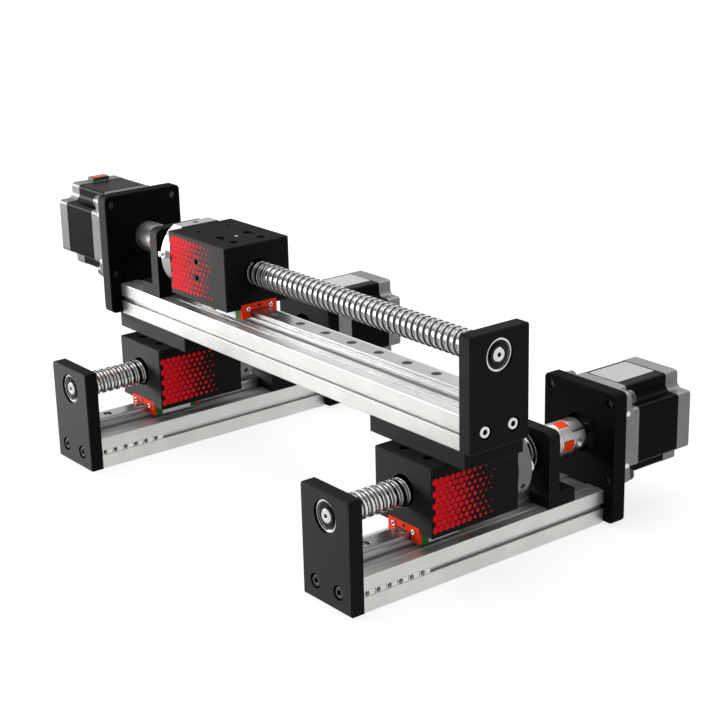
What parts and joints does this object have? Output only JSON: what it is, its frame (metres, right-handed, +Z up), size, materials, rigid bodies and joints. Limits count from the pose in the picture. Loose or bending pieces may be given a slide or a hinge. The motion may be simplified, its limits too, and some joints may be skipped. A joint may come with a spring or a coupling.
{
  "type": "xy linear stage gantry",
  "caption": "Motor driven XY gantry stage: two parallel ball-screw slides carry a longer cross slide whose nut block holds the load.",
  "frame": {"origin": "centre of the whole gantry's bounding box at its bottom, on the plane the two lower stages stand on", "axes": "+X along the two lower stages, from their end plates to their motors; +Y along the cross stage, towards its motor; +Z up"},
  "size_m": [0.2516, 0.4154, 0.1609],
  "materials": {
    "silver_extrusion": "satin anodised",
    "black_plate": "black anodised",
    "rail_steel": "ground",
    "screw_steel": "polished rolled thread",
    "nut_steel": "ground",
    "motor_casting": "bead blasted casting",
    "motor_lamination": "black coated laminations",
    "coupling_metal": "turned",
    "spider_elastomer": "moulded polyurethane",
    "cap_plastic": "green moulding",
    "seal_plastic": "red moulding",
    "bearing_steel": "ground",
    "black_screw": "black oxide",
    "bright_screw": "zinc plated",
    "connector_plastic": "black moulding"
  },
  "bodies": {
    "base": {"x_right_profile": "silver_extrusion", "x_right_rail": "rail_steel", "x_right_end_plate": "black_plate", "x_right_motor_plate": "black_plate", "x_right_bearing_bracket": "black_plate", "x_right_motor_flange": "motor_casting", "x_right_motor_stack": "motor_lamination", "x_right_motor_rear_cap": "motor_casting", "x_left_profile": "silver_extrusion", "x_left_rail": "rail_steel", "x_left_end_plate": "black_plate", "x_left_motor_plate": "black_plate", "x_left_bearing_bracket": "black_plate", "x_left_motor_flange": "motor_casting", "x_left_motor_stack": "motor_lamination", "x_left_motor_rear_cap": "motor_casting", "x_frame_screws": "black_screw", "x_motor_screws": "bright_screw", "x_slot_nuts": "bright_screw", "x_screw_bearings": "bearing_steel", "x_bearing_retainers": "black_plate"},
    "bridge": {"x_right_nut_block": "black_plate", "x_left_nut_block": "black_plate", "x_ball_nuts": "nut_steel", "x_guide_blocks": "rail_steel", "x_guide_end_caps": "cap_plastic", "x_guide_end_seals": "seal_plastic", "x_adapter_plates": "black_plate", "x_adapter_screws": "black_screw", "y_profile": "silver_extrusion", "y_rail": "rail_steel", "y_end_plate": "black_plate", "y_motor_plate": "black_plate", "y_bearing_bracket": "black_plate", "y_motor_flange": "motor_casting", "y_motor_stack": "motor_lamination", "y_motor_rear_cap": "motor_casting", "y_frame_screws": "bright_screw", "y_motor_screws": "bright_screw", "y_screw_bearings": "bearing_steel", "y_bearing_retainer": "black_plate", "y_motor_connector": "connector_plastic"},
    "y_carriage": {"y_nut_block": "black_plate", "y_ball_nut": "nut_steel", "y_guide_block": "rail_steel", "y_guide_end_caps": "cap_plastic", "y_guide_end_seals": "seal_plastic"},
    "x_right_screw": {"x_right_ball_screw": "screw_steel", "x_right_coupling_hubs": "coupling_metal", "x_right_coupling_spider": "spider_elastomer", "x_right_motor_shaft": "nut_steel"},
    "x_left_screw": {"x_left_ball_screw": "screw_steel", "x_left_coupling_hubs": "coupling_metal", "x_left_coupling_spider": "spider_elastomer", "x_left_motor_shaft": "nut_steel"},
    "y_screw": {"y_ball_screw": "screw_steel", "y_coupling_hubs": "coupling_metal", "y_coupling_spider": "spider_elastomer", "y_motor_shaft": "nut_steel"}
  },
  "joints": [
    {"name": "x_travel", "type": "slide", "parent": "base", "child": "bridge", "axis": [1, 0, 0], "range_m": [-0.0395, 0.0105]},
    {"name": "y_travel", "type": "slide", "parent": "bridge", "child": "y_carriage", "axis": [0, 1, 0], "range_m": [-0.205, 0.004]},
    {"name": "x_right_screw_spin", "type": "hinge", "parent": "base", "child": "x_right_screw", "pos_m": [-0.05075, -0.16675, 0.051], "axis": [1, 0, 0], "range_deg": [-760, 2850]},
    {"name": "x_left_screw_spin", "type": "hinge", "parent": "base", "child": "x_left_screw", "pos_m": [-0.05075, 0.10325, 0.051], "axis": [1, 0, 0], "range_deg": [-760, 2850]},
    {"name": "y_screw_spin", "type": "hinge", "parent": "bridge", "child": "y_screw", "pos_m": [-0.03975, -0.05775, 0.1305], "axis": [0, 1, 0], "range_deg": [-300, 14770]}
  ],
  "couplings": [
    {"joint": "x_right_screw_spin", "follows": "x_travel", "rad_per_m": -1256.6},
    {"joint": "x_left_screw_spin", "follows": "x_travel", "rad_per_m": -1256.6},
    {"joint": "y_screw_spin", "follows": "y_travel", "rad_per_m": -1256.6}
  ]
}
